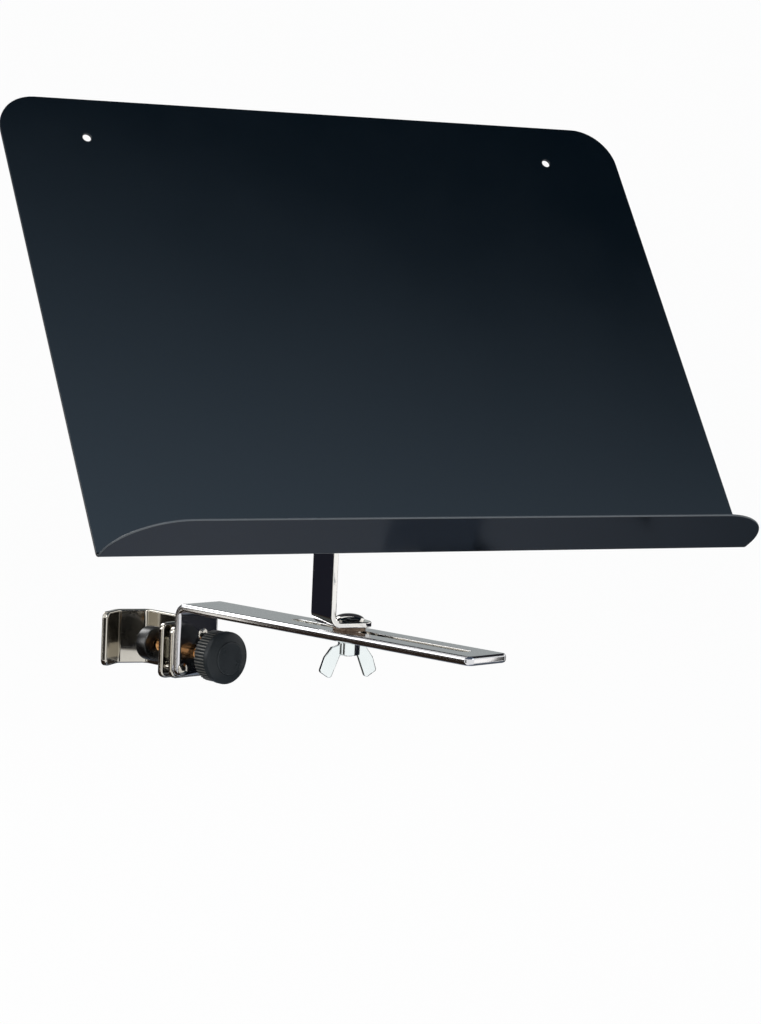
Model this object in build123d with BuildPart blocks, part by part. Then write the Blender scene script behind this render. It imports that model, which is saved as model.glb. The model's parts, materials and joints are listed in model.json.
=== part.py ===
"""Clamp-on document holder: a steel desk that tilts on an upright strap, carried by a slotted arm.

The arm ends in a screw clamp that grips a stand tube. Millimetres, +Z up the tube. The origin is
on the tube's axis, level with the clamp screw. +X runs along the desk, to the reader's right, and
-Y points at the reader.
"""
import os
from math import cos, pi, radians, sin, sqrt, tan

from build123d import *

os.makedirs("parts", exist_ok=True)

# Stand tube and clamp frame, bent from one strip
tube_diameter = 25.0
jaw_angle = 130.0
clamp_mouth = 30.0
front_jaw = 39.0
clamp_strip = 4.0
clamp_height = 32.0
clamp_bend = 3.0
clamp_corner = 4.0

# Captive nut, the plate that keeps it, and the rivets through them
nut_across = 13.0
nut_thickness = 5.0
nut_edge = 0.6
keeper_thickness = 4.0
keeper_height = 30.0
rivet_diameter = 4.0
rivet_head_diameter = 7.0
rivet_head_height = 1.5
upper_rivet_side = 3.2
upper_rivet_rise = 10.2
lower_rivet_side = 11.3
lower_rivet_drop = 9.0

# Arm, a flat bar with one end turned down
arm_swing = 16.5
arm_width = 30.0
arm_thickness = 5.0
arm_bend = 2.5
arm_rise = 29.0
arm_reach = 284.5
arm_corner = 4.0
flange_drop = 42.2
slot_width = 6.5
slot_start = 135.0
slot_length = 135.0

# Clamp screw with its turned button, and the pad that snaps over the button
screw_diameter = 8.0
screw_hole_diameter = 9.0
thread_clearance = 0.05
button_diameter = 6.8
button_height = 3.0
button_depth = 3.0
button_clearance = 0.1
neck_diameter = 4.8
neck_exposed = 1.0
pad_diameter = 20.0
pad_thickness = 9.0
pad_mouth_diameter = 5.8

# Knob on the clamp screw
knob_start = 69.5
knob_diameter = 30.0
knob_grip = 9.0
knob_rim = 3.4
knob_crown = 2.3
knob_grip_diameter = 29.2
grip_teeth = 48
tooth_height = 0.7
bush_across = 12.0
bush_length = 10.0
bush_end_depth = 0.5
cap_diameter = 19.0
cap_recess = 0.7
cap_proud = 0.5

# Upright, a strip with its foot turned sideways
bolt_reach = 179.8
strap_width = 25.0
strap_thickness = 3.0
strap_bend = 3.5
strap_rise = 165.0
strap_end_radius = 12.0
foot_length = 27.2
foot_offset = 17.5
foot_corner = 7.0

# Fasteners of the two pivots: carriage bolts, washers and wing nuts
bolt_diameter = 6.0
bolt_length = 20.0
bolt_head_diameter = 16.5
bolt_head_height = 3.4
bolt_neck = 6.3
neck_clearance = 0.1
pivot_clearance = 0.08
friction_washer_diameter = 18.0
friction_washer_thickness = 2.5
thin_washer_diameter = 16.0
thin_washer_thickness = 1.0
nut_washer_diameter = 12.5
nut_washer_thickness = 1.6
wing_hub_diameter = 12.0
wing_hub_height = 7.0
wing_reach = 17.0
wing_height = 20.2
wing_thickness = 2.6
wing_tip_radius = 1.6
swivel_nut_turn = 2.0
tilt_nut_turn = 20.0

# Desk, one folded sheet, with two riveted ears on its back
desk_width = 370.0
desk_height = 270.0
desk_tilt = 35.8
desk_sheet = 1.2
desk_bend = 2.0
desk_corner = 23.0
lip_depth = 40.0
lip_angle = 94.0
lip_corner = 35.0
clip_hole_diameter = 4.5
clip_hole_side = 47.0
clip_hole_drop = 24.6
pivot_standoff = 36.0
pivot_height = 161.2
ear_thickness = 2.0
ear_base = 44.0
ear_end_radius = 11.0
ear_flange = 18.0
ear_flange_corner = 4.0

# Directions of the arm in the row frame
swing = radians(arm_swing)
across = Vector(cos(swing), sin(swing), 0)
forward = Vector(sin(swing), -cos(swing), 0)
arm_plan = Plane(origin=(0, 0, 0), x_dir=across, z_dir=(0, 0, 1))
arm_side = Plane(origin=(0, 0, 0), x_dir=forward, z_dir=across * -1)
screw_face = Plane(origin=(0, 0, 0), x_dir=across, z_dir=forward)
screw_axis = Axis((0, 0, 0), (forward.X, forward.Y, 0))

# Stack of the clamp, counted forward from the tube's axis
tube_radius = tube_diameter / 2
jaw_back = front_jaw + clamp_strip
keeper_back = jaw_back + nut_thickness
flange_back = keeper_back + keeper_thickness
flange_front = flange_back + arm_thickness
rivet_places = [(upper_rivet_side, upper_rivet_rise), (-lower_rivet_side, -lower_rivet_drop)]


def short_edges(part, length):
    """Straight edges as long as a sheet is thick: the corners of its free ends."""
    straight = part.edges().filter_by(GeomType.LINE)
    return straight.filter_by(lambda edge: abs(edge.length - length) < length / 1000)


# Clamp frame: V jaw behind the tube, one side arm, flat jaw in front
half_jaw = radians(jaw_angle / 2)
jaw_apex = tube_radius / sin(half_jaw)
jaw_end = jaw_apex - clamp_mouth / 2 / tan(half_jaw)
with BuildPart() as clamp_frame:
    with BuildSketch(arm_plan.offset(-clamp_height / 2)):
        with BuildLine():
            FilletPolyline(
                (-clamp_mouth / 2, jaw_end),
                (0, jaw_apex),
                (clamp_mouth / 2, jaw_end),
                (clamp_mouth / 2, -front_jaw),
                (-clamp_mouth / 2, -front_jaw),
                radius=clamp_bend,
            )
            offset(amount=clamp_strip, side=Side.LEFT)
        make_face()
    extrude(amount=clamp_height)
    fillet(short_edges(clamp_frame, clamp_strip), clamp_corner)
    with BuildSketch(screw_face.offset(front_jaw)):
        Circle(screw_hole_diameter / 2)
        with Locations(*rivet_places):
            Circle(rivet_diameter / 2)
    extrude(amount=clamp_strip, mode=Mode.SUBTRACT)
clamp_frame.part.label = "clamp_frame"
export_step(clamp_frame.part, "parts/clamp_frame.step")

# Captive square nut behind the flat jaw
with BuildPart() as clamp_nut:
    with BuildSketch(screw_face.offset(jaw_back)):
        Rectangle(nut_across, nut_across)
        Circle(screw_diameter / 2 + thread_clearance, mode=Mode.SUBTRACT)
    extrude(amount=nut_thickness)
    nut_corners = clamp_nut.edges().filter_by(GeomType.LINE)
    chamfer(nut_corners.filter_by(lambda edge: abs(edge.length - nut_thickness) < nut_edge), nut_edge)
clamp_nut.part.label = "clamp_nut"
export_step(clamp_nut.part, "parts/clamp_nut.step")

# Plate that keeps the nut, flat against the arm's flange
with BuildPart() as nut_keeper:
    with BuildSketch(screw_face.offset(keeper_back)):
        RectangleRounded(arm_width, keeper_height, clamp_corner)
        Circle(screw_hole_diameter / 2, mode=Mode.SUBTRACT)
        with Locations(*rivet_places):
            Circle(rivet_diameter / 2, mode=Mode.SUBTRACT)
    extrude(amount=keeper_thickness)
nut_keeper.part.label = "nut_keeper"
export_step(nut_keeper.part, "parts/nut_keeper.step")

# Rivets through jaw, keeper and flange, set flush in the jaw so that the pad can draw right back
with BuildPart() as clamp_rivets:
    with BuildSketch(screw_face.offset(front_jaw)):
        with Locations(*rivet_places):
            Circle(rivet_diameter / 2)
    extrude(amount=flange_front - front_jaw)
    with BuildSketch(screw_face.offset(flange_front)):
        with Locations(*rivet_places):
            Circle(rivet_head_diameter / 2)
    extrude(amount=rivet_head_height)
clamp_rivets.part.label = "clamp_rivets"
export_step(clamp_rivets.part, "parts/clamp_rivets.step")

# Arm: flange riveted to the clamp, bend, and the slotted bar
flange_bottom = arm_rise - flange_drop
with BuildPart() as arm:
    with BuildSketch(arm_side):
        with BuildLine():
            FilletPolyline(
                (flange_back, flange_bottom),
                (flange_back, arm_rise),
                (arm_reach, arm_rise),
                radius=arm_bend + arm_thickness,
            )
            offset(amount=arm_thickness, side=Side.RIGHT)
        make_face()
    extrude(amount=arm_width / 2, both=True)
    fillet(short_edges(arm, arm_thickness), arm_corner)
    with BuildSketch(screw_face.offset(flange_back)):
        Circle(screw_hole_diameter / 2)
        with Locations(*rivet_places):
            Circle(rivet_diameter / 2)
    extrude(amount=arm_thickness, mode=Mode.SUBTRACT)
    with BuildSketch(arm_plan.offset(arm_rise)):
        with Locations((0, -slot_start - slot_length / 2)):
            SlotOverall(slot_length, slot_width, rotation=90)
    extrude(amount=-arm_thickness, mode=Mode.SUBTRACT)
arm.part.label = "arm"
export_step(arm.part, "parts/arm.step")

# Clamp screw: button, neck and shank turned from one bar
button_radius = button_diameter / 2
neck_radius = neck_diameter / 2
screw_radius = screw_diameter / 2
button_start = tube_radius + button_depth
button_end = button_start + button_height
pad_back = tube_radius + pad_thickness
shank_start = pad_back + neck_exposed
screw_end = knob_start + bush_length - bush_end_depth
with BuildPart() as clamp_screw:
    with BuildSketch(arm_side):
        with BuildLine():
            Polyline(
                (button_start, 0),
                (button_start, button_radius),
                (button_end, button_radius),
                (button_end, neck_radius),
                (shank_start, neck_radius),
                (shank_start, screw_radius),
                (screw_end, screw_radius),
                (screw_end, 0),
                close=True,
            )
        make_face()
    revolve(axis=screw_axis)
clamp_screw.part.label = "clamp_screw"
export_step(clamp_screw.part, "parts/clamp_screw.step")

# Pressure pad with the socket that holds the button
pad_radius = pad_diameter / 2
socket_radius = button_radius + button_clearance
mouth_radius = pad_mouth_diameter / 2
socket_start = button_start - button_clearance
socket_end = button_end + button_clearance
with BuildPart() as pressure_pad:
    with BuildSketch(arm_side):
        with BuildLine():
            Polyline(
                (socket_start, 0),
                (socket_start, socket_radius),
                (socket_end, socket_radius),
                (socket_end, mouth_radius),
                (pad_back, mouth_radius),
                (pad_back, pad_radius),
                (tube_radius, pad_radius),
                (tube_radius, 0),
                close=True,
            )
        make_face()
    revolve(axis=screw_axis)
pressure_pad.part.label = "pressure_pad"
export_step(pressure_pad.part, "parts/pressure_pad.step")

# Outline of the knob's grip, a ring of straight teeth
grip_radius = knob_grip_diameter / 2
grip_outline = []
for number in range(grip_teeth):
    tooth_turn = 2 * pi * number / grip_teeth
    gap_turn = tooth_turn + pi / grip_teeth
    gap_radius = grip_radius - tooth_height
    grip_outline.append((grip_radius * cos(tooth_turn), grip_radius * sin(tooth_turn)))
    grip_outline.append((gap_radius * cos(gap_turn), gap_radius * sin(gap_turn)))

# Knob: toothed grip, smooth rim, and a crown with a recess for its cap
knob_radius = knob_diameter / 2
cap_radius = cap_diameter / 2
rim_start = knob_start + knob_grip
rim_end = rim_start + knob_rim
crown_end = rim_end + knob_crown
with BuildPart() as knob:
    with BuildSketch(arm_side):
        with BuildLine():
            Polyline(
                (rim_start, 0),
                (rim_start, knob_radius),
                (rim_end, knob_radius),
                (crown_end, cap_radius),
                (crown_end - cap_recess, cap_radius),
                (crown_end - cap_recess, 0),
                close=True,
            )
        make_face()
    revolve(axis=screw_axis)
    with BuildSketch(screw_face.offset(knob_start)):
        with BuildLine():
            Polyline(*grip_outline, close=True)
        make_face()
    extrude(amount=knob_grip)
    with BuildSketch(screw_face.offset(knob_start)):
        RegularPolygon(bush_across / 2, 6, major_radius=False)
    extrude(amount=bush_length, mode=Mode.SUBTRACT)
knob.part.label = "knob"
export_step(knob.part, "parts/knob.step")

# Six-sided bush moulded into the knob, pressed on the screw
with BuildPart() as knob_bush:
    with BuildSketch(screw_face.offset(knob_start)):
        RegularPolygon(bush_across / 2, 6, major_radius=False)
        Circle(screw_radius, mode=Mode.SUBTRACT)
    extrude(amount=bush_length)
knob_bush.part.label = "knob_bush"
export_step(knob_bush.part, "parts/knob_bush.step")

# Bare cap in the knob's crown
with BuildPart() as knob_cap:
    with BuildSketch(screw_face.offset(crown_end - cap_recess)):
        Circle(cap_radius)
    extrude(amount=cap_recess + cap_proud)
knob_cap.part.label = "knob_cap"
export_step(knob_cap.part, "parts/knob_cap.step")

# Where the upright stands on the arm and where the desk pivots on it
bolt_place = forward * bolt_reach
foot_bottom = arm_rise + friction_washer_thickness
foot_top = foot_bottom + strap_thickness
pivot_rise = foot_bottom + strap_rise
strap_outside = bolt_place.X - foot_offset
strap_middle = strap_outside + strap_thickness / 2
bolt_radius = bolt_diameter / 2
pivot_hole = bolt_radius + pivot_clearance
strap_side = Plane(origin=(bolt_place.X, bolt_place.Y, 0), x_dir=(1, 0, 0), z_dir=(0, -1, 0))
bolt_plan = Plane(origin=(bolt_place.X, bolt_place.Y, 0), x_dir=(1, 0, 0), z_dir=(0, 0, 1))
pivot_face = Plane(origin=(strap_middle, bolt_place.Y, pivot_rise), x_dir=(0, 1, 0), z_dir=(1, 0, 0))

with BuildPart() as upright_strap:
    with BuildSketch(strap_side):
        with BuildLine():
            FilletPolyline(
                (-foot_offset, pivot_rise + strap_width / 2),
                (-foot_offset, foot_bottom),
                (foot_length - foot_offset, foot_bottom),
                radius=strap_bend + strap_thickness,
            )
            offset(amount=strap_thickness, side=Side.LEFT)
        make_face()
    extrude(amount=strap_width / 2, both=True)
    strap_corners = short_edges(upright_strap, strap_thickness).sort_by(Axis.Z)
    fillet(strap_corners[-2:], strap_end_radius)
    fillet(short_edges(upright_strap, strap_thickness).sort_by(Axis.Z)[:2], foot_corner)
    with BuildSketch(bolt_plan.offset(foot_bottom)):
        Rectangle(bolt_neck + neck_clearance * 2, bolt_neck + neck_clearance * 2)
    extrude(amount=strap_thickness, mode=Mode.SUBTRACT)
    with BuildSketch(pivot_face):
        Circle(pivot_hole)
    extrude(amount=strap_thickness, both=True, mode=Mode.SUBTRACT)
upright_strap.part.label = "upright_strap"
export_step(upright_strap.part, "parts/upright_strap.step")


# Outline of a domed head as shares of its radius and height, from the crown to the rim
dome_shares = [(0.00, 1.00), (0.50, 1.00), (1.00, 0.26), (1.00, 0.00), (0.00, 0.00)]


def carriage_bolt(seat, neck_length):
    """Domed bolt whose head stands behind the seat plane and whose shank follows its normal."""
    head_radius = bolt_head_diameter / 2
    outline = [(head_radius * out, bolt_head_height * up) for out, up in dome_shares]
    with BuildPart() as bolt:
        with BuildSketch(Plane(origin=seat.origin, x_dir=seat.x_dir, z_dir=seat.y_dir)):
            with BuildLine():
                Polyline(*outline, close=True)
            make_face()
        revolve(axis=Axis(seat.origin, seat.z_dir))
        with BuildSketch(seat):
            Rectangle(bolt_neck, bolt_neck)
        extrude(amount=neck_length)
        with BuildSketch(seat):
            Circle(bolt_radius)
        extrude(amount=bolt_length)
    return bolt.part


def washer(seat, diameter, thickness):
    """Flat ring round a bolt, lying on the seat plane."""
    with BuildPart() as ring:
        with BuildSketch(seat):
            Circle(diameter / 2)
            Circle(pivot_hole, mode=Mode.SUBTRACT)
        extrude(amount=thickness)
    return ring.part


# Wing outline as shares of the wing's reach and height, from the hub out to the tip and back
wing_shares = [(0.24, 0.05), (0.60, 0.14), (0.84, 0.40), (1.00, 0.79), (0.62, 1.00), (0.32, 0.37), (0.24, 0.34)]


def wing_nut(seat, turn):
    """Wing nut standing on the seat plane, its wings turned about the plane's normal."""
    wing_way = seat.x_dir * cos(radians(turn)) + seat.y_dir * sin(radians(turn))
    section = Plane(origin=seat.origin, x_dir=wing_way, z_dir=wing_way.cross(seat.z_dir))
    outline = [(wing_reach * out, wing_height * up) for out, up in wing_shares]
    with BuildPart() as nut:
        with BuildSketch(seat):
            Circle(wing_hub_diameter / 2)
        extrude(amount=wing_hub_height)
        with BuildSketch(section):
            with BuildLine():
                Polyline(*outline, close=True)
            wing = make_face()
            fillet(wing.vertices().sort_by(Axis.Y)[-2:], wing_tip_radius)
            mirror(about=Plane.YZ)
        extrude(amount=wing_thickness / 2, both=True)
        with BuildSketch(seat):
            Circle(bolt_radius + thread_clearance)
        extrude(amount=wing_hub_height, mode=Mode.SUBTRACT)
    return nut.part


# Swivel joint: bolt through foot and slot, friction washer above the arm, washer and nut below
swivel_bolt = carriage_bolt(bolt_plan.offset(foot_top).rotated((180, 0, 0)), strap_thickness)
swivel_bolt.label = "swivel_bolt"
export_step(swivel_bolt, "parts/swivel_bolt.step")

swivel_washer = washer(bolt_plan.offset(arm_rise), friction_washer_diameter, friction_washer_thickness)
swivel_washer.label = "swivel_washer"
export_step(swivel_washer, "parts/swivel_washer.step")

under_arm = bolt_plan.offset(arm_rise - arm_thickness).rotated((180, 0, 0))
swivel_nut_washer = washer(under_arm, nut_washer_diameter, nut_washer_thickness)
swivel_nut_washer.label = "swivel_nut_washer"
export_step(swivel_nut_washer, "parts/swivel_nut_washer.step")

swivel_wing_nut = wing_nut(under_arm.offset(nut_washer_thickness), swivel_nut_turn)
swivel_wing_nut.label = "swivel_wing_nut"
export_step(swivel_wing_nut, "parts/swivel_wing_nut.step")

# Desk placed from its pivot: its face leans back by the tilt and stands off from the pivot
tilt = radians(desk_tilt)
up_slope = Vector(0, sin(tilt), cos(tilt))
face_normal = Vector(0, -cos(tilt), sin(tilt))
pivot_place = Vector(strap_middle, bolt_place.Y, pivot_rise)
desk_fold = pivot_place + face_normal * pivot_standoff - up_slope * pivot_height
desk_face = Plane(origin=desk_fold, x_dir=(1, 0, 0), z_dir=face_normal)
desk_side = Plane(origin=desk_fold, x_dir=face_normal, z_dir=(-1, 0, 0))
lip_turn = radians(lip_angle)
with BuildPart() as desk_plate:
    with BuildSketch(desk_side):
        with BuildLine():
            FilletPolyline(
                (0, desk_height),
                (0, 0),
                (lip_depth * sin(lip_turn), lip_depth * cos(lip_turn)),
                radius=desk_bend,
            )
            offset(amount=desk_sheet, side=Side.RIGHT)
        make_face()
    extrude(amount=desk_width / 2, both=True)
    fillet(short_edges(desk_plate, desk_sheet).sort_by(Axis.Z)[-2:], desk_corner)
    fillet(short_edges(desk_plate, desk_sheet).sort_by(Axis.Z)[:2], lip_corner)
    with BuildSketch(desk_face):
        with Locations((0, desk_height - clip_hole_drop)):
            with GridLocations(desk_width - clip_hole_side * 2, 0, 2, 1):
                Circle(clip_hole_diameter / 2)
    extrude(amount=-desk_sheet, mode=Mode.SUBTRACT)
desk_plate.part.label = "desk_plate"
export_step(desk_plate.part, "parts/desk_plate.step")

# Stack of the tilt joint, counted outwards from the middle of the strap
ear_inside = strap_thickness / 2 + thin_washer_thickness
ear_outside = ear_inside + ear_thickness


def hinge_ear(side):
    """Angle piece welded to the desk's back; side is 1 for the nut's ear and -1 for the head's ear."""
    ear_plane = Plane(origin=desk_fold, x_dir=face_normal, z_dir=(-1, 0, 0)).offset(-side * ear_inside)
    base_place = -desk_sheet - ear_thickness / 2
    with BuildPart() as ear:
        with BuildSketch(ear_plane):
            with Locations((-pivot_standoff, pivot_height)):
                Circle(ear_end_radius)
            with Locations((base_place, pivot_height)):
                Rectangle(ear_thickness, ear_base)
            make_hull()
        extrude(amount=-side * ear_thickness)
        with BuildSketch(desk_face.offset(-desk_sheet)):
            with Locations((side * (ear_inside + ear_flange / 2), pivot_height)):
                Rectangle(ear_flange, ear_base)
        extrude(amount=-ear_thickness)
        far_corners = ear.edges().filter_by(GeomType.LINE).sort_by(Axis.X, reverse=side > 0)[:8]
        fillet(short_edges_of(far_corners, ear_thickness), ear_flange_corner)
        with BuildSketch(ear_plane):
            with Locations((-pivot_standoff, pivot_height)):
                if side > 0:
                    Circle(pivot_hole)
                else:
                    Rectangle(bolt_neck + neck_clearance * 2, bolt_neck + neck_clearance * 2)
        extrude(amount=-side * ear_thickness, mode=Mode.SUBTRACT)
    return ear.part


def short_edges_of(edges, length):
    """The edges of a list that are as long as the sheet is thick."""
    return [edge for edge in edges if abs(edge.length - length) < length / 1000]


hinge_ear_right = hinge_ear(1)
hinge_ear_right.label = "hinge_ear_right"
export_step(hinge_ear_right, "parts/hinge_ear_right.step")

hinge_ear_left = hinge_ear(-1)
hinge_ear_left.label = "hinge_ear_left"
export_step(hinge_ear_left, "parts/hinge_ear_left.step")

# Tilt joint: bolt through both ears and the strap, with thin washers between them
bolt_seat = Plane(origin=pivot_place, x_dir=up_slope, z_dir=(1, 0, 0)).offset(-ear_outside)
tilt_bolt = carriage_bolt(bolt_seat, ear_thickness)
tilt_bolt.label = "tilt_bolt"
export_step(tilt_bolt, "parts/tilt_bolt.step")

with BuildPart() as tilt_washers:
    add(washer(pivot_face.offset(strap_thickness / 2), thin_washer_diameter, thin_washer_thickness))
    add(washer(pivot_face.offset(-ear_inside), thin_washer_diameter, thin_washer_thickness))
tilt_washers.part.label = "tilt_washers"
export_step(tilt_washers.part, "parts/tilt_washers.step")

tilt_nut_washer = washer(pivot_face.offset(ear_outside), nut_washer_diameter, nut_washer_thickness)
tilt_nut_washer.label = "tilt_nut_washer"
export_step(tilt_nut_washer, "parts/tilt_nut_washer.step")

tilt_wing_nut = wing_nut(pivot_face.offset(ear_outside + nut_washer_thickness), tilt_nut_turn)
tilt_wing_nut.label = "tilt_wing_nut"
export_step(tilt_wing_nut, "parts/tilt_wing_nut.step")
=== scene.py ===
import json
from math import atan2, cos, pi, radians, sin

import bpy
from mathutils import Matrix, Vector

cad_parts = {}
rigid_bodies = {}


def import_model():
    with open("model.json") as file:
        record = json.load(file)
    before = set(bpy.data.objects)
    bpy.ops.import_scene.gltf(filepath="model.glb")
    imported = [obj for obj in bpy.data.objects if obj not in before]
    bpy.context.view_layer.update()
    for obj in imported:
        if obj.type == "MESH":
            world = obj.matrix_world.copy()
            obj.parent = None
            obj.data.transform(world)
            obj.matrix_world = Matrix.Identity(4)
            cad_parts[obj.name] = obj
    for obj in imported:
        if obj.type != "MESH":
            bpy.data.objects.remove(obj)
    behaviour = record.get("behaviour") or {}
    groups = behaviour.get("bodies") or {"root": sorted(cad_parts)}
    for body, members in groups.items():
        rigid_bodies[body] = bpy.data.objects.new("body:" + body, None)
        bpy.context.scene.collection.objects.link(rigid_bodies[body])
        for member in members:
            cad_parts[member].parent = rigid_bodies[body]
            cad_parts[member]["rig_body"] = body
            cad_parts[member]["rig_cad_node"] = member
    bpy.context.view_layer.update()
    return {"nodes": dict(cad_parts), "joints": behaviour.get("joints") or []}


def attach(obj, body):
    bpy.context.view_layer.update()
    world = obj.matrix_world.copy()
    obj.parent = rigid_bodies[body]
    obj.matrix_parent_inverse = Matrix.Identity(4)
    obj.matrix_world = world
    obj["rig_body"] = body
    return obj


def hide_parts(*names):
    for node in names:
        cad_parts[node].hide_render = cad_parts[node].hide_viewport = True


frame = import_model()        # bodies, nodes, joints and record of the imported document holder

mm = 0.001

# Tolerances, in millimetres and degrees
weld_gap, solid_weld_gap = 0.002, 0.003
flat_angle, sharp_angle, smooth_angle = 0.4, 40, 32

# Directions and places shared with the solids, in metres and radians
swing = radians(16.5)
lean = radians(35.8)
across = Vector((cos(swing), sin(swing), 0))
forward = Vector((sin(swing), -cos(swing), 0))
up = Vector((0, 0, 1))
right = Vector((1, 0, 0))
up_slope = Vector((0, sin(lean), cos(lean)))
face_normal = Vector((0, -cos(lean), sin(lean)))
places = {joint["name"]: Vector(joint["pos_m"]) for joint in frame["joints"] if "pos_m" in joint}
pivot = places["tilt"]
post = places["swivel"]


def frame_at(origin, x_way, z_way):
    """Matrix that puts a piece's own X and Z along the given ways."""
    turned_frame = Matrix((x_way, z_way.cross(x_way), z_way)).transposed().to_4x4()
    turned_frame.translation = origin
    return turned_frame


screw_frame = frame_at(Vector(), across, forward)
swivel_down = frame_at(Vector((post.x, post.y, 0)), right, -up)
tilt_frame = frame_at(pivot, up_slope, right)


# Selecting and placing

def only(piece):
    """Selects one object alone and makes it active."""
    bpy.ops.object.select_all(action="DESELECT")
    piece.select_set(True)
    bpy.context.view_layer.objects.active = piece
    return piece


def edit(piece):
    only(piece)
    bpy.ops.object.mode_set(mode="EDIT")
    bpy.ops.mesh.select_all(action="SELECT")


def leave_edit():
    bpy.ops.object.mode_set(mode="OBJECT")


def pick(piece, kind, test):
    """Enters edit mode with only those vertices, edges or faces selected that pass the test."""
    only(piece)
    bpy.context.tool_settings.mesh_select_mode = (True, False, False)
    bpy.ops.object.mode_set(mode="EDIT")
    bpy.ops.mesh.select_all(action="DESELECT")
    leave_edit()
    bpy.context.tool_settings.mesh_select_mode = tuple(kind == each for each in ("VERT", "EDGE", "FACE"))
    mesh = piece.data
    for item in {"VERT": mesh.vertices, "EDGE": mesh.edges, "FACE": mesh.polygons}[kind]:
        item.select = bool(test(item))
    bpy.ops.object.mode_set(mode="EDIT")


def place(piece, matrix):
    """Moves a piece made at the origin to its place and leaves that place in its mesh."""
    only(piece)
    piece.matrix_world = matrix @ piece.matrix_world
    bpy.ops.object.transform_apply(location=True, rotation=True, scale=True)
    return piece


def modify(piece, kind, **settings):
    """Adds one modifier, sets it and applies it."""
    only(piece)
    bpy.ops.object.modifier_add(type=kind)
    modifier = piece.modifiers[-1]
    for name, value in settings.items():
        setattr(modifier, name, value)
    bpy.ops.object.modifier_apply(modifier=modifier.name)
    return piece


def smooth(piece, angle=smooth_angle):
    only(piece)
    bpy.ops.object.shade_smooth_by_angle(angle=radians(angle))
    return piece


def outward(piece):
    """Closes small gaps and points every face outwards."""
    edit(piece)
    bpy.ops.mesh.remove_doubles(threshold=weld_gap * mm)
    bpy.ops.mesh.normals_make_consistent(inside=False)
    leave_edit()
    return piece


def joined(name, *parts):
    only(parts[0])
    for part in parts[1:]:
        part.select_set(True)
    bpy.ops.object.join()
    parts[0].name = name
    return parts[0]


# Ways of making pieces

def turned(name, profile, segments=72):
    """Round piece along its own Z; the profile lists (height, radius) in millimetres, end to end."""
    height, radius = profile[0]
    bpy.ops.object.select_all(action="DESELECT")
    bpy.ops.mesh.primitive_circle_add(vertices=segments, radius=radius * mm, fill_type="NGON",
                                      location=(0, 0, height * mm))
    piece = bpy.context.object
    piece.name = name
    bpy.ops.object.mode_set(mode="EDIT")
    bpy.ops.mesh.select_all(action="SELECT")
    for next_height, next_radius in profile[1:]:
        bpy.ops.mesh.extrude_region_move(
            TRANSFORM_OT_translate={"value": (0, 0, (next_height - height) * mm)})
        share = next_radius / radius
        bpy.ops.transform.resize(value=(share, share, 1), center_override=(0, 0, next_height * mm))
        height, radius = next_height, next_radius
    leave_edit()
    bpy.ops.object.transform_apply(location=True, rotation=False, scale=False)
    return outward(piece)


def thread(name, radius, pitch, start, end, steps=28):
    """Helical ridge along Z from start to end, a triangle swept by a screw modifier."""
    size = pitch / 3 ** 0.5
    flattened = 0.58 * pitch / (1.5 * size)
    bpy.ops.object.select_all(action="DESELECT")
    bpy.ops.mesh.primitive_circle_add(vertices=3, radius=size * mm, fill_type="NOTHING",
                                      rotation=(pi / 2, pi / 2, 0))
    ridge = bpy.context.object
    ridge.name = name
    bpy.ops.object.transform_apply(location=True, rotation=True, scale=True)
    edit(ridge)
    bpy.ops.transform.resize(value=(flattened, 1, 1), center_override=(0, 0, 0))
    bpy.ops.transform.translate(value=((radius - flattened * size) * mm, 0, (start + pitch / 2) * mm))
    leave_edit()
    turns = int((end - start) / pitch) - 1
    modify(ridge, "SCREW", axis="Z", angle=2 * pi, screw_offset=pitch * mm, iterations=turns,
           steps=steps, render_steps=steps, use_merge_vertices=False)
    edit(ridge)
    bpy.ops.mesh.fill_holes(sides=4)
    leave_edit()
    return outward(ridge)


def from_solid(solid, name, edge, segments=3, weight=None):
    """Copy of a solid with its flat faces joined up and its edges rounded by edge millimetres.

    weight gives an edge's share of the rounding from its two ends; without it all get the whole.
    """
    only(frame["nodes"][solid])
    bpy.ops.object.duplicate()
    piece = bpy.context.object
    piece.parent = None
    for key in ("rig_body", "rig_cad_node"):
        del piece[key]
    piece.name = name
    piece.data.materials.clear()
    only(piece)
    if piece.data.has_custom_normals:
        bpy.ops.mesh.customdata_custom_splitnormals_clear()
    edit(piece)
    bpy.ops.mesh.remove_doubles(threshold=solid_weld_gap * mm)
    bpy.ops.mesh.dissolve_limited(angle_limit=radians(flat_angle))
    leave_edit()
    if edge:
        bpy.context.tool_settings.mesh_select_mode = (False, True, False)
        bpy.ops.object.mode_set(mode="EDIT")
        bpy.ops.mesh.select_all(action="DESELECT")
        bpy.ops.mesh.edges_select_sharp(sharpness=radians(sharp_angle))
        leave_edit()
        mesh = piece.data
        shares = mesh.attributes.new("bevel_weight_edge", "FLOAT", "EDGE")
        for number, line in enumerate(mesh.edges):
            if line.select:
                ends = [mesh.vertices[i].co for i in line.vertices]
                shares.data[number].value = weight(*ends) if weight else 1.0
        modify(piece, "BEVEL", width=edge * mm, segments=segments, limit_method="WEIGHT",
               use_clamp_overlap=False, miter_outer="MITER_ARC")
    smooth(piece)
    return modify(piece, "WEIGHTED_NORMAL", mode="FACE_AREA", weight=90, keep_sharp=True)


def show(piece, body, material, slot, *nodes):
    """Gives a piece its finish, its body and the solids that it stands for."""
    if material:
        piece.data.materials.clear()
        piece.data.materials.append(material)
    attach(piece, body)
    if nodes:
        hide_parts(*nodes)
    return piece


# Shader groups

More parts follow.
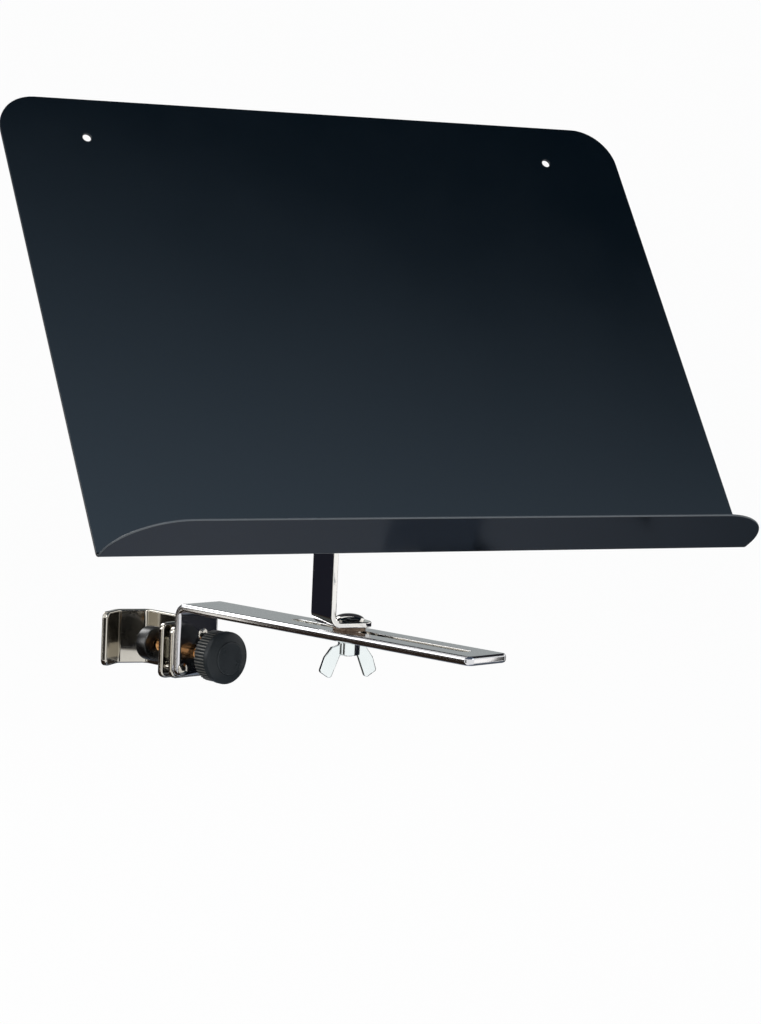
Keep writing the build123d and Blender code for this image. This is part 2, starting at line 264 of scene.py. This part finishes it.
def new_group(name, inputs, outputs):
    group = bpy.data.node_groups.new(name, "ShaderNodeTree")
    for label, value in inputs.items():
        kind = "NodeSocketColor" if isinstance(value, tuple) else "NodeSocketFloat"
        socket = group.interface.new_socket(name=label, in_out="INPUT", socket_type=kind)
        socket.default_value = value
    for label, kind in outputs.items():
        group.interface.new_socket(name=label, in_out="OUTPUT", socket_type=kind)
    return group, group.nodes.new("NodeGroupInput"), group.nodes.new("NodeGroupOutput")


def node(tree, kind, settings=None, **inputs):
    """Adds a node; inputs are values or output sockets, under names with _ for spaces."""
    made = tree.nodes.new("ShaderNode" + kind)
    for name, value in (settings or {}).items():
        setattr(made, name, value)
    for name, value in inputs.items():
        target = made.inputs[int(name[1:])] if name[1:].isdigit() else made.inputs[name.replace("_", " ")]
        if isinstance(value, bpy.types.NodeSocket):
            tree.links.new(value, target)
        else:
            target.default_value = value
    return made


def coat_group():
    """Powder coat: orange peel, fine grit and slow unevenness of gloss."""
    tree, given, put = new_group("powder_coat", {"Peel Size": 900.0, "Grit Size": 5200.0},
                                 {"Height": "NodeSocketFloat", "Grit": "NodeSocketFloat",
                                  "Cloud": "NodeSocketFloat"})
    where = node(tree, "TexCoord").outputs["Object"]
    peel = node(tree, "TexNoise", Vector=where, Scale=given.outputs["Peel Size"], Detail=2.0)
    grit = node(tree, "TexNoise", Vector=where, Scale=given.outputs["Grit Size"], Detail=1.0)
    cloud = node(tree, "TexNoise", Vector=where, Scale=14.0, Detail=3.0)
    part = node(tree, "Math", {"operation": "MULTIPLY"}, _0=grit.outputs["Fac"], _1=0.35)
    total = node(tree, "Math", {"operation": "ADD"}, _0=peel.outputs["Fac"], _1=part.outputs[0])
    tree.links.new(total.outputs[0], put.inputs["Height"])
    tree.links.new(grit.outputs["Fac"], put.inputs["Grit"])
    tree.links.new(cloud.outputs["Fac"], put.inputs["Cloud"])
    return tree


def metal_group():
    """Plated metal: faint drawing lines along X and handling marks."""
    tree, given, put = new_group("plated_metal", {"Line Size": 3000.0, "Stretch": 0.02},
                                 {"Lines": "NodeSocketFloat", "Marks": "NodeSocketFloat"})
    where = node(tree, "TexCoord").outputs["Object"]
    ways = node(tree, "CombineXYZ", X=given.outputs["Stretch"], Y=1.0, Z=1.0)
    drawn = node(tree, "VectorMath", {"operation": "MULTIPLY"}, _0=where, _1=ways.outputs[0])
    lines = node(tree, "TexNoise", Vector=drawn.outputs[0], Scale=given.outputs["Line Size"], Detail=2.0)
    marks = node(tree, "TexNoise", Vector=where, Scale=60.0, Detail=5.0, Roughness=0.6)
    tree.links.new(lines.outputs["Fac"], put.inputs["Lines"])
    tree.links.new(marks.outputs["Fac"], put.inputs["Marks"])
    return tree


def fine_group():
    """Moulded or pressed stuff: fine grain and soft blotches."""
    tree, given, put = new_group("fine_grain", {"Grain Size": 2500.0, "Blotch Size": 90.0},
                                 {"Grain": "NodeSocketFloat", "Blotch": "NodeSocketFloat"})
    where = node(tree, "TexCoord").outputs["Object"]
    grain = node(tree, "TexNoise", Vector=where, Scale=given.outputs["Grain Size"], Detail=3.0)
    blotch = node(tree, "TexNoise", Vector=where, Scale=given.outputs["Blotch Size"], Detail=4.0)
    tree.links.new(grain.outputs["Fac"], put.inputs["Grain"])
    tree.links.new(blotch.outputs["Fac"], put.inputs["Blotch"])
    return tree


powder_coat = coat_group()
plated_metal = metal_group()
fine_grain = fine_group()


# Materials

noise_low, noise_high = 0.3, 0.7


def spread(tree, source, low, high):
    """Maps a noise value onto the range low to high."""
    ranged = node(tree, "MapRange", Value=source, From_Min=noise_low, From_Max=noise_high,
                  To_Min=low, To_Max=high)
    return ranged.outputs["Result"]


def tinted(tree, share, first, second):
    mixed = node(tree, "MixRGB", Fac=share, Color1=(*first, 1), Color2=(*second, 1))
    return mixed.outputs["Color"]


def finish_material(name, group, group_inputs, colours, colour_by, rough, rough_by, height_by, height,
                    metallic=0.0, specular=0.5):
    """Principled material whose colour, roughness and bump come from one of the shader groups."""
    material = bpy.data.materials.new(name)
    material.use_nodes = True
    tree = material.node_tree
    shader = tree.nodes["Principled BSDF"]
    made = tree.nodes.new("ShaderNodeGroup")
    made.node_tree = group
    for label, value in group_inputs.items():
        made.inputs[label].default_value = value
    share = spread(tree, made.outputs[colour_by], 0.0, 1.0)
    tree.links.new(tinted(tree, share, *colours), shader.inputs["Base Color"])
    tree.links.new(spread(tree, made.outputs[rough_by], *rough), shader.inputs["Roughness"])
    bump = node(tree, "Bump", Strength=1.0, Distance=height * mm, Height=made.outputs[height_by])
    tree.links.new(bump.outputs["Normal"], shader.inputs["Normal"])
    shader.inputs["Metallic"].default_value = metallic
    shader.inputs["Specular IOR Level"].default_value = specular
    return material


desk_coat = finish_material("desk_coat", powder_coat, {"Peel Size": 700.0, "Grit Size": 4200.0},
                            ((0.0008, 0.0030, 0.0054), (0.0016, 0.0045, 0.0078)), "Grit",
                            (0.15, 0.20), "Cloud", "Height", 0.008)
# Lighter grey coat: a painted highlight along the desk's cut edges
painted_highlight_coat = finish_material("painted_highlight_coat", powder_coat, {"Peel Size": 700.0, "Grit Size": 4200.0},
                            ((0.072, 0.082, 0.091), (0.096, 0.109, 0.119)), "Grit",
                            (0.22, 0.30), "Cloud", "Height", 0.006)
nickel = finish_material("nickel", plated_metal, {"Line Size": 900.0, "Stretch": 0.3},
                         ((0.88, 0.87, 0.84), (0.92, 0.90, 0.865)), "Marks",
                         (0.05, 0.10), "Marks", "Lines", 0.0001, metallic=1.0)
satin_nickel = finish_material("satin_nickel", plated_metal,
                               {"Line Size": 2400.0, "Stretch": 1.0},
                               ((0.52, 0.495, 0.44), (0.62, 0.59, 0.53)), "Marks",
                               (0.07, 0.13), "Marks", "Lines", 0.002, metallic=1.0)
bar_nickel = finish_material("bar_nickel", plated_metal, {"Line Size": 900.0, "Stretch": 0.3},
                             ((0.705, 0.705, 0.725), (0.735, 0.735, 0.755)), "Marks",
                             (0.10, 0.14), "Marks", "Lines", 0.0001, metallic=1.0)
zinc = finish_material("zinc", plated_metal, {"Line Size": 2200.0, "Stretch": 1.0},
                       ((0.84, 0.90, 0.90), (0.91, 0.96, 0.96)), "Marks",
                       (0.10, 0.17), "Marks", "Lines", 0.002, metallic=1.0)
brass = finish_material("yellow_plate", plated_metal, {"Line Size": 2600.0, "Stretch": 0.5},
                        ((0.56, 0.27, 0.10), (0.68, 0.38, 0.16)), "Marks",
                        (0.16, 0.26), "Marks", "Lines", 0.002, metallic=1.0)
black_plastic = finish_material("black_plastic", fine_grain, {"Grain Size": 2600.0, "Blotch Size": 120.0},
                                ((0.0220, 0.0265, 0.0295), (0.0275, 0.0325, 0.0360)), "Blotch",
                                (0.30, 0.38), "Blotch", "Grain", 0.010, specular=0.2)
pad_plastic = finish_material("pad_plastic", fine_grain, {"Grain Size": 2200.0, "Blotch Size": 140.0},
                              ((0.0018, 0.0022, 0.0026), (0.0030, 0.0036, 0.0042)), "Blotch",
                              (0.24, 0.32), "Blotch", "Grain", 0.008, specular=0.8)
# Lighter grey plastic for the knob's ribs: a painted highlight
rib_highlight_plastic = finish_material("rib_highlight_plastic", fine_grain, {"Grain Size": 3000.0, "Blotch Size": 300.0},
                               ((0.075, 0.074, 0.064), (0.120, 0.118, 0.103)), "Blotch",
                               (0.30, 0.42), "Blotch", "Grain", 0.012, specular=0.8)
cap_plastic = finish_material("cap_plastic", fine_grain, {"Grain Size": 1400.0, "Blotch Size": 150.0},
                              ((0.0300, 0.0355, 0.0390), (0.0360, 0.0420, 0.0460)), "Blotch",
                              (0.26, 0.34), "Blotch", "Grain", 0.003, specular=0.34)
fibre = finish_material("fibre", fine_grain, {"Grain Size": 1800.0, "Blotch Size": 700.0},
                        ((0.20, 0.12, 0.07), (0.44, 0.31, 0.215)), "Blotch",
                        (0.40, 0.55), "Grain", "Grain", 0.02)
nylon = finish_material("nylon", fine_grain, {"Grain Size": 1200.0, "Blotch Size": 200.0},
                        ((0.52, 0.50, 0.45), (0.62, 0.60, 0.55)), "Blotch",
                        (0.38, 0.48), "Blotch", "Grain", 0.006)


# Desk and its hinge ears

def desk_pieces():
    """The cut edge of the ledge and a band along the top get a lighter grey coat: a painted highlight along
    those edges.
    """
    sheet = from_solid("desk_plate", "desk_sheet", 0.56, 4)
    sheet.data.materials.append(desk_coat)
    sheet.data.materials.append(painted_highlight_coat)
    fold, corner = 4 * mm, 20 * mm
    top = max(vertex.co.dot(up_slope) for vertex in sheet.data.vertices)
    back = min(vertex.co.dot(face_normal) for vertex in sheet.data.vertices)
    # Faces on the ledge's cut edge and along the top edge get the lighter coat, a painted highlight
    for face in sheet.data.polygons:
        slope = face.normal.dot(up_slope)
        ledge_highlight = face.center.dot(face_normal) > back + fold and abs(slope) < 0.9
        top_highlight = face.center.dot(up_slope) > top - corner and slope > 0.5
        face.material_index = 1 if ledge_highlight or top_highlight else 0
    show(sheet, "desk", None, "desk_coat", "desk_plate")
    for side in ("right", "left"):
        ear = from_solid(f"hinge_ear_{side}", f"ear_{side}", 0.45)
        show(ear, "desk", desk_coat, "desk_coat", f"hinge_ear_{side}")


# Arm, upright and clamp frame

def in_slot(point, half_width, reach):
    """True for a point of the arm that lies by its slot or bores."""
    return abs(point.dot(across)) < half_width * mm and point.dot(forward) < reach * mm


def slot_share(first, second):
    """Share of the arm's edge rounding: the punched slot and the bores have crisper edges."""
    return 0.2 if in_slot(first, 4.8, 280) and in_slot(second, 4.8, 280) else 1.0


def strip_pieces():
    arm = from_solid("arm", "slotted_arm", 1.8, 5, weight=slot_share)
    arm.data.materials.append(bar_nickel)
    arm.data.materials.append(nickel)
    underside = 23 * mm
    for face in arm.data.polygons:
        upright = abs(face.normal.dot(up)) < 0.2 and face.center.z > underside
        face.material_index = 1 if upright and in_slot(face.center, 3.6, 275) else 0
    show(arm, "clamp", None, "nickel", "arm")
    show(from_solid("clamp_frame", "v_frame", 1.1, 4), "clamp", satin_nickel, "nickel", "clamp_frame")
    show(from_solid("nut_keeper", "keeper_plate", 1.1, 4), "clamp", satin_nickel, "nickel", "nut_keeper")
    show(from_solid("upright_strap", "upright", 0.7, 4), "upright", nickel, "nickel", "upright_strap")


# Clamp screw, pad, nut and rivets

def rivet_profile(start, end):
    """Flush tail, shank and domed head of one rivet, along the clamp screw's direction."""
    head = [(end + 1.45 * sin(a), 3.5 * cos(a)) for a in (radians(d) for d in (14, 30, 46, 62, 76, 87))]
    return [(start, 1.7), (start + 0.3, 2.0), (end, 2.0), (end, 3.5)] + head


def clamp_pieces():
    core = turned("clamp_core", [
        (15.5, 2.4), (15.6, 2.9), (16.2, 3.4), (17.8, 3.4), (18.5, 2.9), (18.5, 2.3), (22.5, 2.3),
        (22.6, 2.9), (23.1, 3.35), (77.4, 3.35), (78.9, 2.8)])
    ridge = thread("clamp_ridge", 3.98, 1.25, 23.0, 69.5)
    spindle = smooth(place(joined("clamp_spindle", core, ridge), screw_frame), 40)
    show(spindle, "screw", brass, "brass", "clamp_screw")

    pad = turned("pad_disc", [
        (12.5, 8.6), (12.55, 9.15), (12.8, 9.6), (13.25, 9.9), (13.8, 10.0), (20.7, 10.0), (21.1, 9.93),
        (21.4, 9.7), (21.5, 9.4), (21.5, 3.9),
        (21.3, 3.3), (20.9, 2.9), (18.7, 2.9), (17.9, 3.5), (16.1, 3.5), (15.4, 2.9)])
    show(smooth(place(pad, screw_frame)), "pad", pad_plastic, "black_plastic", "pressure_pad")

    square = from_solid("clamp_nut", "square_nut", 0.35)
    show(square, "clamp", zinc, "zinc", "clamp_nut")

    rivets = []
    jaw_front, flange_front = 39.0, 57.0
    for number, (side, rise) in enumerate(((3.2, 10.2), (-11.3, -9.0))):
        rivet = turned(f"rivet_{number}", rivet_profile(jaw_front, flange_front), 40)
        rivets.append(place(rivet, screw_frame @ Matrix.Translation((side * mm, rise * mm, 0))))
    show(smooth(joined("rivets", *rivets)), "clamp", satin_nickel, "nickel", "clamp_rivets")


# Knob with ribbed waist, smooth rim and bare cap

def knob_pieces():
    ribs, steps, rib_height = 48, 4, 0.62
    rib_start, rib_end, grip_radius = 69.9, 78.15, 14.35
    knob = turned("knob_body", [
        (69.5, 6.0), (69.5, 13.3), (69.62, 13.75), (69.95, 13.95), (78.1, 13.95), (78.35, 14.3), (78.45, 14.75),
        (78.7, 14.98), (81.3, 15.0), (81.75, 14.93), (82.15, 14.68), (82.6, 14.1), (83.3, 12.2), (83.85, 10.6),
        (84.12, 9.9), (84.2, 9.6), (84.1, 9.52), (83.5, 9.5)], ribs * steps)

    def in_rib(face):
        middle = face.center
        share = atan2(middle.y, middle.x) / (2 * pi) * ribs * steps
        along = rib_start * mm < middle.z < rib_end * mm and abs(face.normal.z) < 0.1
        return along and share % steps < steps / 2

    pick(knob, "FACE", in_rib)
    bpy.ops.mesh.extrude_region_shrink_fatten(TRANSFORM_OT_shrink_fatten={"value": rib_height * mm})
    leave_edit()
    knob.data.materials.append(black_plastic)
    knob.data.materials.append(rib_highlight_plastic)
    # Rib faces get the lighter grey plastic, a painted highlight against the black gaps
    for face in knob.data.polygons:
        highlighted_rib = face.center.z < rib_end * mm and face.center.xy.length > grip_radius * mm
        face.material_index = 1 if highlighted_rib else 0
    modify(knob, "BEVEL", width=0.16 * mm, segments=2, limit_method="ANGLE", angle_limit=radians(50),
           use_clamp_overlap=True)
    show(smooth(place(knob, screw_frame), 40), "screw", None, "black_plastic", "knob")

    show(from_solid("knob_bush", "bush", 0.25), "screw", brass, "brass", "knob_bush")

    cap = turned("cap_disc", [
        (83.5, 9.42), (84.3, 9.42), (84.48, 9.34), (84.58, 9.15), (84.62, 8.9), (84.66, 6.0), (84.68, 3.0),
        (84.69, 0.6)], 96)
    show(smooth(place(cap, screw_frame)), "screw", cap_plastic, "cap_plastic", "knob_cap")


# Fasteners of the two pivots

def carriage_bolt(name, seat, neck_length):
    """Domed head, square neck and threaded shank; the head stands on the seat's lower side."""
    rise, wide, neck_side, shank_end = 3.35, 8.25, 6.3, 19.9
    turns = [radians(degrees) for degrees in (2, 8, 16, 25, 35, 45, 55, 65, 75, 83)]
    dome = [(-rise * cos(turn) - 0.05, wide * sin(turn)) for turn in turns]
    head = turned(name + "_head", dome + [(-0.35, wide), (0.0, wide - 0.15)], 80)
    shank = turned(name + "_shank", [(-0.4, 2.6), (shank_end - 0.5, 2.6), (shank_end, 2.2)], 48)
    ridge = thread(name + "_ridge", 2.97, 1.0, neck_length + 0.2, shank_end)
    bpy.ops.object.select_all(action="DESELECT")
    bpy.ops.mesh.primitive_cube_add(size=neck_side * mm, location=(0, 0, (neck_length - neck_side / 2) * mm))
    neck = modify(bpy.context.object, "BEVEL", width=0.5 * mm, segments=2)
    only(neck)
    bpy.ops.object.transform_apply(location=True, rotation=True, scale=True)
    edit(neck)
    bpy.ops.mesh.bisect(plane_co=(0, 0, -0.3 * mm), plane_no=(0, 0, 1), use_fill=True, clear_inner=True)
    leave_edit()
    bolt = joined(name, head, shank, ridge, neck)
    return smooth(place(bolt, seat), 40)


def wing_nut(solid, name):
    """Cast look: the solid remeshed finely and relaxed, so that wings and hub run into each other."""
    piece = from_solid(solid, name, 0)
    modify(piece, "REMESH", mode="VOXEL", voxel_size=0.2 * mm)
    modify(piece, "SMOOTH", factor=0.5, iterations=8)
    only(piece)
    bpy.ops.object.shade_smooth()
    return piece


def fastener_pieces():
    foot_top, ear_side, contact_gap = 34.5, 4.5, 0.02
    seat = swivel_down @ Matrix.Translation((0, 0, -foot_top * mm))
    show(carriage_bolt("post_bolt", seat, 3.0), "upright", nickel, "zinc", "swivel_bolt")
    seat = tilt_frame @ Matrix.Translation((0, 0, -ear_side * mm))
    show(carriage_bolt("hinge_bolt", seat, 2.0), "desk", nickel, "zinc", "tilt_bolt")
    show(wing_nut("swivel_wing_nut", "lower_wing_nut"), "lower_nut", zinc, "zinc", "swivel_wing_nut")
    show(wing_nut("tilt_wing_nut", "side_wing_nut"), "side_nut", zinc, "zinc", "tilt_wing_nut")
    washer = from_solid("swivel_nut_washer", "washer_under_arm", 0.25)
    top = max(vertex.co.z for vertex in washer.data.vertices)
    pick(washer, "VERT", lambda vertex: vertex.co.z > top - contact_gap / 2 * mm)
    bpy.ops.transform.translate(value=(0, 0, -contact_gap * mm))
    leave_edit()
    show(washer, "lower_washer", zinc, "zinc", "swivel_nut_washer")
    show(from_solid("tilt_nut_washer", "washer_beside_ear", 0.25), "side_washer", zinc, "zinc",
         "tilt_nut_washer")
    show(from_solid("swivel_washer", "fibre_washer", 0.3), "carriage", fibre, "fibre", "swivel_washer")
    show(from_solid("tilt_washers", "nylon_washers", 0.15), "desk", nylon, "nylon", "tilt_washers")


desk_pieces()
strip_pieces()
clamp_pieces()
knob_pieces()
fastener_pieces()


# Camera at the photograph's place

def aim_camera():
    yaw, pitch, roll = radians(28.24), radians(5.55), radians(2.52)
    ahead = Vector((sin(yaw) * cos(pitch), cos(yaw) * cos(pitch), -sin(pitch)))
    level = ahead.cross(up).normalized()
    over = level.cross(ahead)
    side = cos(roll) * level + sin(roll) * over
    top = cos(roll) * over - sin(roll) * level
    data = bpy.data.cameras.new("camera")
    data.sensor_fit = "HORIZONTAL"
    data.sensor_width = 36.0
    data.lens = 140.16
    data.clip_end = 50.0
    camera = bpy.data.objects.new("camera", data)
    bpy.context.scene.collection.objects.link(camera)
    camera.matrix_world = Matrix((side, top, -ahead)).transposed().to_4x4()
    camera.matrix_world.translation = Vector((-0.6892, -1.5806, 0.2482))
    bpy.context.scene.camera = camera


# Studio: pale floor and backdrop, soft lamps, and dark cards that only reflections see

def pale_material(name, colour, seen):
    """Diffuse surface that shows near white to the camera and in reflections, and keeps shadows."""
    material = bpy.data.materials.new(name)
    material.use_nodes = True
    tree = material.node_tree
    tree.nodes.remove(tree.nodes["Principled BSDF"])
    end = tree.nodes["Material Output"]
    diffuse = node(tree, "BsdfDiffuse", Color=(*colour, 1))
    glow = node(tree, "Emission", Color=(1, 1, 1, 1), Strength=1.0)
    path = node(tree, "LightPath")
    either = node(tree, "Math", {"operation": "MAXIMUM"}, _0=path.outputs["Is Camera Ray"],
                  _1=path.outputs["Is Glossy Ray"])
    share = node(tree, "Math", {"operation": "MULTIPLY"}, _0=either.outputs[0], _1=seen)
    mixed = node(tree, "MixShader", _0=share.outputs[0], _1=diffuse.outputs[0], _2=glow.outputs[0])
    tree.links.new(mixed.outputs[0], end.inputs["Surface"])
    return material


def card_material(name, colour, far_colour, start, end, slant):
    """Glow that runs from one colour to another up the card, between two shares of its height."""
    material = bpy.data.materials.new(name)
    material.use_nodes = True
    tree = material.node_tree
    tree.nodes.remove(tree.nodes["Principled BSDF"])
    parts = node(tree, "SeparateXYZ", Vector=node(tree, "TexCoord").outputs["Object"])
    sideways = node(tree, "Math", {"operation": "MULTIPLY"}, _0=parts.outputs["X"], _1=slant)
    rise = node(tree, "Math", {"operation": "ADD"}, _0=parts.outputs["Y"], _1=sideways.outputs[0])
    share = node(tree, "MapRange", Value=rise.outputs[0], From_Min=start, From_Max=end)
    mixed = node(tree, "MixRGB", Fac=share.outputs["Result"], Color1=(*colour, 1), Color2=(*far_colour, 1))
    glow = node(tree, "Emission", Color=mixed.outputs["Color"], Strength=1.0)
    tree.links.new(glow.outputs[0], tree.nodes["Material Output"].inputs["Surface"])
    return material


def card(name, matrix, width, height, colour, far_colour=None, start=-0.5, end=0.5, slant=0.0):
    """Flat card that is seen in reflections alone."""
    bpy.ops.object.select_all(action="DESELECT")
    bpy.ops.mesh.primitive_plane_add(size=1)
    piece = bpy.context.object
    piece.name = name
    piece.matrix_world = matrix @ Matrix.Diagonal((width, height, 1, 1))
    piece.data.materials.append(card_material(name, colour, far_colour or colour, start, end, slant))
    piece.visible_camera = False
    piece.visible_diffuse = False
    piece.visible_shadow = False
    piece.visible_transmission = False


def facing(centre, target):
    """Place of an upright card at centre that faces the target."""
    way = (Vector(target) - Vector(centre)).to_track_quat("Z", "Y")
    return Matrix.Translation(centre) @ way.to_matrix().to_4x4()


def lamp(name, place_m, target, width, height, watts, colour=(1, 1, 1)):
    data = bpy.data.lights.new(name, "AREA")
    data.shape = "RECTANGLE"
    data.size, data.size_y = width, height
    data.energy = watts
    data.color = colour
    lit = bpy.data.objects.new(name, data)
    bpy.context.scene.collection.objects.link(lit)
    way = (Vector(target) - Vector(place_m)).to_track_quat("-Z", "Y")
    lit.matrix_world = Matrix.Translation(place_m) @ way.to_matrix().to_4x4()


def studio():
    bpy.ops.object.select_all(action="DESELECT")
    bpy.ops.mesh.primitive_plane_add(size=9, location=(0, 1.0, -0.42))
    floor = bpy.context.object
    floor.name = "floor"
    pick(floor, "EDGE", lambda edge: all(floor.data.vertices[i].co.y > 0 for i in edge.vertices))
    bpy.ops.mesh.extrude_region_move(TRANSFORM_OT_translate={"value": (0, 0, 4.5)})
    leave_edit()
    modify(floor, "BEVEL", width=1.2, segments=12, limit_method="ANGLE", angle_limit=radians(40))
    only(floor)
    bpy.ops.object.shade_smooth()
    floor.data.materials.append(pale_material("pale_paper", (0.86, 0.86, 0.86), 0.96))

    world = bpy.data.worlds.new("studio")
    bpy.context.scene.world = world
    world.use_nodes = True
    tree = world.node_tree
    path = node(tree, "LightPath")
    either = node(tree, "Math", {"operation": "MAXIMUM"}, _0=path.outputs["Is Camera Ray"],
                  _1=path.outputs["Is Glossy Ray"])
    pale = node(tree, "MixRGB", Fac=either.outputs[0], Color1=(0.50, 0.52, 0.55, 1), Color2=(1.0, 1.0, 1.0, 1))
    tree.links.new(pale.outputs[0], tree.nodes["Background"].inputs["Color"])

    middle = (0.0, -0.15, 0.15)
    lamp("key", (-1.5, -1.6, 1.9), middle, 1.2, 1.2, 24)
    lamp("fill", (1.3, -1.9, 1.5), middle, 1.0, 1.4, 7)
    lamp("rim", (-0.3, 1.9, 1.5), middle, 1.4, 0.8, 14)
    lamp("left_lamp", (-1.7, 0.75, 0.42), (0.0, -0.1, 0.0), 0.6, 0.8, 3)

    flat = Matrix.Translation
    dusk = (0.026, 0.018, 0.013)
    card("ceiling_card", flat((0.75, -0.75, 1.45)), 3.0, 2.6, (0.80, 1.06, 1.34), (0.0, 0.004, 0.009),
         -0.12, 0.075, 0.28)
    card("rear_high_card", facing((0.95, 1.5, 1.30), (0.05, -0.17, 0.04)), 2.6, 1.7, (0.03, 0.03, 0.035))
    card("arm_end_card", facing((0.180, -0.300, 0.018), (0.09, -0.27, 0.027)), 0.034, 0.05, (0.02, 0.02, 0.02))
    card("arm_end_light", facing((0.687, -0.612, -0.04), (0.08, -0.27, 0.027)), 0.12, 0.22, (1.38, 1.35, 1.31))
    card("floor_rear_card", flat((0.6, 1.35, -0.405)), 2.2, 1.4, (0.06, 0.07, 0.07))
    card("rear_left_card", facing((-0.9, 1.3, 0.10), (0.04, -0.17, 0.1)), 1.2, 1.6, (0.0105, 0.011, 0.017))
    card("floor_left_card", flat((-0.9, 0.7, -0.405)), 2.0, 1.9, dusk)
    card("left_card", facing((-1.75, 0.85, -0.27), (0.03, -0.15, 0.03)), 1.4, 0.28, dusk)
    card("left_front_card", facing((-1.5, -0.6, -0.1), (-0.01, 0.0, 0.0)), 0.6, 0.7, (0.03, 0.027, 0.024))
    card("clamp_edge_card", facing((-0.283, 0.096, -0.06), (-0.022, -0.048, 0.0)), 0.036, 0.075,
         (1.15, 1.10, 1.00))
    card("rear_card", facing((1.2, 1.95, 0.36), (0.05, -0.15, 0.03)), 1.9, 0.5, (0.370, 0.395, 0.395))
    card("lip_card", flat((0.65, 0.05, -0.40)) @ Matrix.Rotation(-pi / 2, 4, "Z"), 1.2, 1.25,
         (0.25, 0.28, 0.34), (0.0, 0.01, 0.02), -0.40, 0.19)
    card("lip_shade_card", flat((0.055, -0.2975, 0.045)), 0.054, 0.055, (0.09, 0.11, 0.15))
    card("right_rear_card", facing((1.5, 0.6, -0.15), (0.0, 0.0, 0.0)), 1.1, 0.8, (0.035, 0.030, 0.026))
    card("knob_card", facing((0.165, -0.150, -0.018), (0.02, -0.07, 0.0)) @ flat((0.03, 0, 0)), 0.165, 0.10,
         (0.008, 0.009, 0.014))


aim_camera()
studio()
bpy.context.scene.view_settings.view_transform = "Standard"
